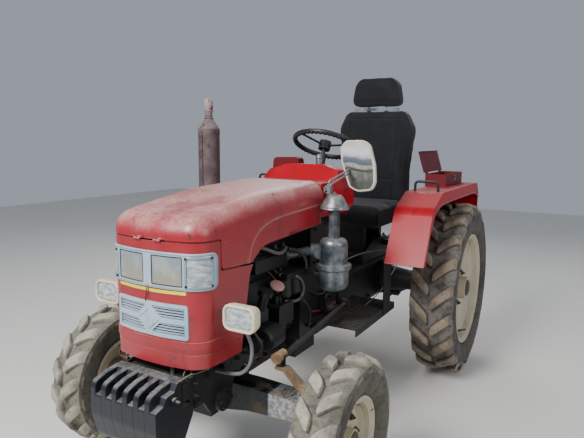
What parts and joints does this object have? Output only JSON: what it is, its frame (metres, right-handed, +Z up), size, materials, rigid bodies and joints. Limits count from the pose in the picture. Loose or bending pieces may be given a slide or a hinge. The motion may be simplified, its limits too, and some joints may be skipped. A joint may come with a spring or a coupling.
{
  "type": "farm tractor",
  "caption": "Compact four-wheel-drive farm tractor with an open engine bay, upright silencer, front ballast plates, high-backed seat and rear three-point hitch.",
  "frame": {"origin": "on the ground under the middle of the tractor's length and width", "axes": "+X forward, towards the ballast plates; +Y towards the tractor's left; +Z up"},
  "size_m": [2.738, 1.371, 1.775],
  "materials": {
    "engine_paint": "oily dark enamel",
    "radiator_black": "dusty matt black",
    "rusty_steel": "burnt and rusted",
    "galvanised": "dull zinc",
    "frame_black": "dusty black enamel",
    "weight_grey": "dusty casting",
    "axle_paint": "dusty green-black enamel",
    "black_plastic": "moulded",
    "hitch_paint": "worn black enamel",
    "bright_steel": "greased",
    "tyre_rubber": "dusty rubber",
    "rim_cream": "dirty cream enamel",
    "red_paint": "faded dusty red enamel",
    "silver_paint": "pale blue-silver paint",
    "lamp_glass": "moulded lens",
    "seat_cloth": "black woven cloth",
    "mirror_glass": "framed mirror",
    "cream_plastic": "aged cream moulding",
    "red_lens": "ribbed lens"
  },
  "bodies": {
    "root": {"air_cleaner": "galvanised", "battery": "black_plastic", "controls": "frame_black", "dash_cowl": "red_paint", "engine_block": "engine_paint", "engine_fittings": "engine_paint", "fenders": "red_paint", "foot_platforms": "frame_black", "front_axle": "axle_paint", "front_drive_shaft": "frame_black", "front_frame": "frame_black", "front_weights": "weight_grey", "fuel_tank": "frame_black", "grab_handles": "frame_black", "grille_panel": "silver_paint", "headrest": "seat_cloth", "hitch_brackets": "frame_black", "lamp_bezel": "silver_paint", "lamp_lenses": "lamp_glass", "lift_housing": "frame_black", "mirror": "mirror_glass", "muffler": "rusty_steel", "nose_cowl": "red_paint", "radiator": "radiator_black", "rear_axle": "frame_black", "rear_lamps": "red_lens", "seat_back": "seat_cloth", "seat_cushion": "seat_cloth", "seat_frame": "frame_black", "steering_gear": "frame_black", "toolbox": "red_paint", "transmission": "frame_black", "work_lamps": "cream_plastic"},
    "bonnet": {"bonnet": "red_paint"},
    "toolbox_lid": {"toolbox_lid": "red_paint"},
    "steering_wheel": {"steering_wheel": "black_plastic"},
    "drop_arm": {"drop_arm": "frame_black"},
    "knuckle_left": {"knuckle_left": "axle_paint"},
    "knuckle_right": {"knuckle_right": "axle_paint"},
    "tie_rod": {"tie_rod": "frame_black"},
    "drag_link": {"drag_link": "frame_black"},
    "front_wheel_left": {"front_tyre_left": "tyre_rubber", "front_rim_left": "rim_cream"},
    "front_wheel_right": {"front_tyre_right": "tyre_rubber", "front_rim_right": "rim_cream"},
    "rear_wheel_left": {"rear_tyre_left": "tyre_rubber", "rear_rim_left": "rim_cream"},
    "rear_wheel_right": {"rear_tyre_right": "tyre_rubber", "rear_rim_right": "rim_cream"},
    "fan": {"cooling_fan": "engine_paint"},
    "pto_shaft": {"pto_shaft": "bright_steel"},
    "lift_arms": {"lift_arms": "frame_black"},
    "lower_links": {"lower_links": "hitch_paint"},
    "lift_rods": {"lift_rods": "hitch_paint"},
    "top_link": {"top_link": "hitch_paint"}
  },
  "joints": [
    {"name": "steer_left", "type": "hinge", "parent": "root", "child": "knuckle_left", "pos_m": [0.876, 0.44, 0.4], "axis": [0, 0, 1], "range_deg": [-35, 35]},
    {"name": "steer_right", "type": "hinge", "parent": "root", "child": "knuckle_right", "pos_m": [0.876, -0.44, 0.4], "axis": [0, 0, 1], "range_deg": [-35, 35]},
    {"name": "tie_rod_swing", "type": "hinge", "parent": "knuckle_left", "child": "tie_rod", "pos_m": [0.756, 0.44, 0.268], "axis": [0, 0, 1], "range_deg": [-35, 35]},
    {"name": "drag_link_swing", "type": "hinge", "parent": "knuckle_left", "child": "drag_link", "pos_m": [0.876, 0.315, 0.556], "axis": [0, 0, 1], "range_deg": [-35, 35]},
    {"name": "drop_arm_swing", "type": "hinge", "parent": "root", "child": "drop_arm", "pos_m": [0.186, 0.25, 0.758], "axis": [0, 1, 0], "range_deg": [-28, 28]},
    {"name": "steering_wheel_turn", "type": "hinge", "parent": "root", "child": "steering_wheel", "pos_m": [-0.099, 0, 1.352], "axis": [-0.4226, 0, 0.9063], "range_deg": [-525, 525]},
    {"name": "front_left_spin", "type": "hinge", "parent": "knuckle_left", "child": "front_wheel_left", "pos_m": [0.876, 0.575, 0.312], "axis": [0, 1, 0], "continuous": true},
    {"name": "front_right_spin", "type": "hinge", "parent": "knuckle_right", "child": "front_wheel_right", "pos_m": [0.876, -0.575, 0.312], "axis": [0, 1, 0], "continuous": true},
    {"name": "rear_left_spin", "type": "hinge", "parent": "root", "child": "rear_wheel_left", "pos_m": [-0.719, 0.565, 0.506], "axis": [0, 1, 0], "continuous": true},
    {"name": "rear_right_spin", "type": "hinge", "parent": "root", "child": "rear_wheel_right", "pos_m": [-0.719, -0.565, 0.506], "axis": [0, 1, 0], "continuous": true},
    {"name": "fan_spin", "type": "hinge", "parent": "root", "child": "fan", "pos_m": [0.931, 0, 0.8], "axis": [1, 0, 0], "continuous": true},
    {"name": "pto_spin", "type": "hinge", "parent": "root", "child": "pto_shaft", "pos_m": [-0.889, 0, 0.52], "axis": [1, 0, 0], "continuous": true},
    {"name": "bonnet_open", "type": "hinge", "parent": "root", "child": "bonnet", "pos_m": [1.232, 0, 1.04], "axis": [0, 1, 0], "range_deg": [0, 60]},
    {"name": "toolbox_lid_close", "type": "hinge", "parent": "root", "child": "toolbox_lid", "pos_m": [-0.719, 0.388, 1.1845], "axis": [-1, 0, 0], "range_deg": [0, 107]},
    {"name": "lift_arms_raise", "type": "hinge", "parent": "root", "child": "lift_arms", "pos_m": [-0.779, 0, 0.72], "axis": [0, 1, 0], "range_deg": [-20, 40]},
    {"name": "lower_links_raise", "type": "hinge", "parent": "root", "child": "lower_links", "pos_m": [-0.779, 0, 0.4], "axis": [0, 1, 0], "range_deg": [-20, 40]},
    {"name": "lift_rods_swing", "type": "hinge", "parent": "lift_arms", "child": "lift_rods", "pos_m": [-1.049, 0, 0.73], "axis": [0, 1, 0], "range_deg": [-40, 20]},
    {"name": "top_link_raise", "type": "hinge", "parent": "root", "child": "top_link", "pos_m": [-0.904, 0, 0.66], "axis": [0, 1, 0], "range_deg": [-40, 40]}
  ],
  "couplings": [
    {"joint": "steer_right", "follows": "steer_left", "ratio": 1},
    {"joint": "tie_rod_swing", "follows": "steer_left", "ratio": -1},
    {"joint": "drag_link_swing", "follows": "steer_left", "ratio": -1},
    {"joint": "drop_arm_swing", "follows": "steer_left", "ratio": -0.72},
    {"joint": "steering_wheel_turn", "follows": "steer_left", "ratio": 15},
    {"joint": "lower_links_raise", "follows": "lift_arms_raise", "ratio": 1},
    {"joint": "lift_rods_swing", "follows": "lift_arms_raise", "ratio": -1}
  ]
}
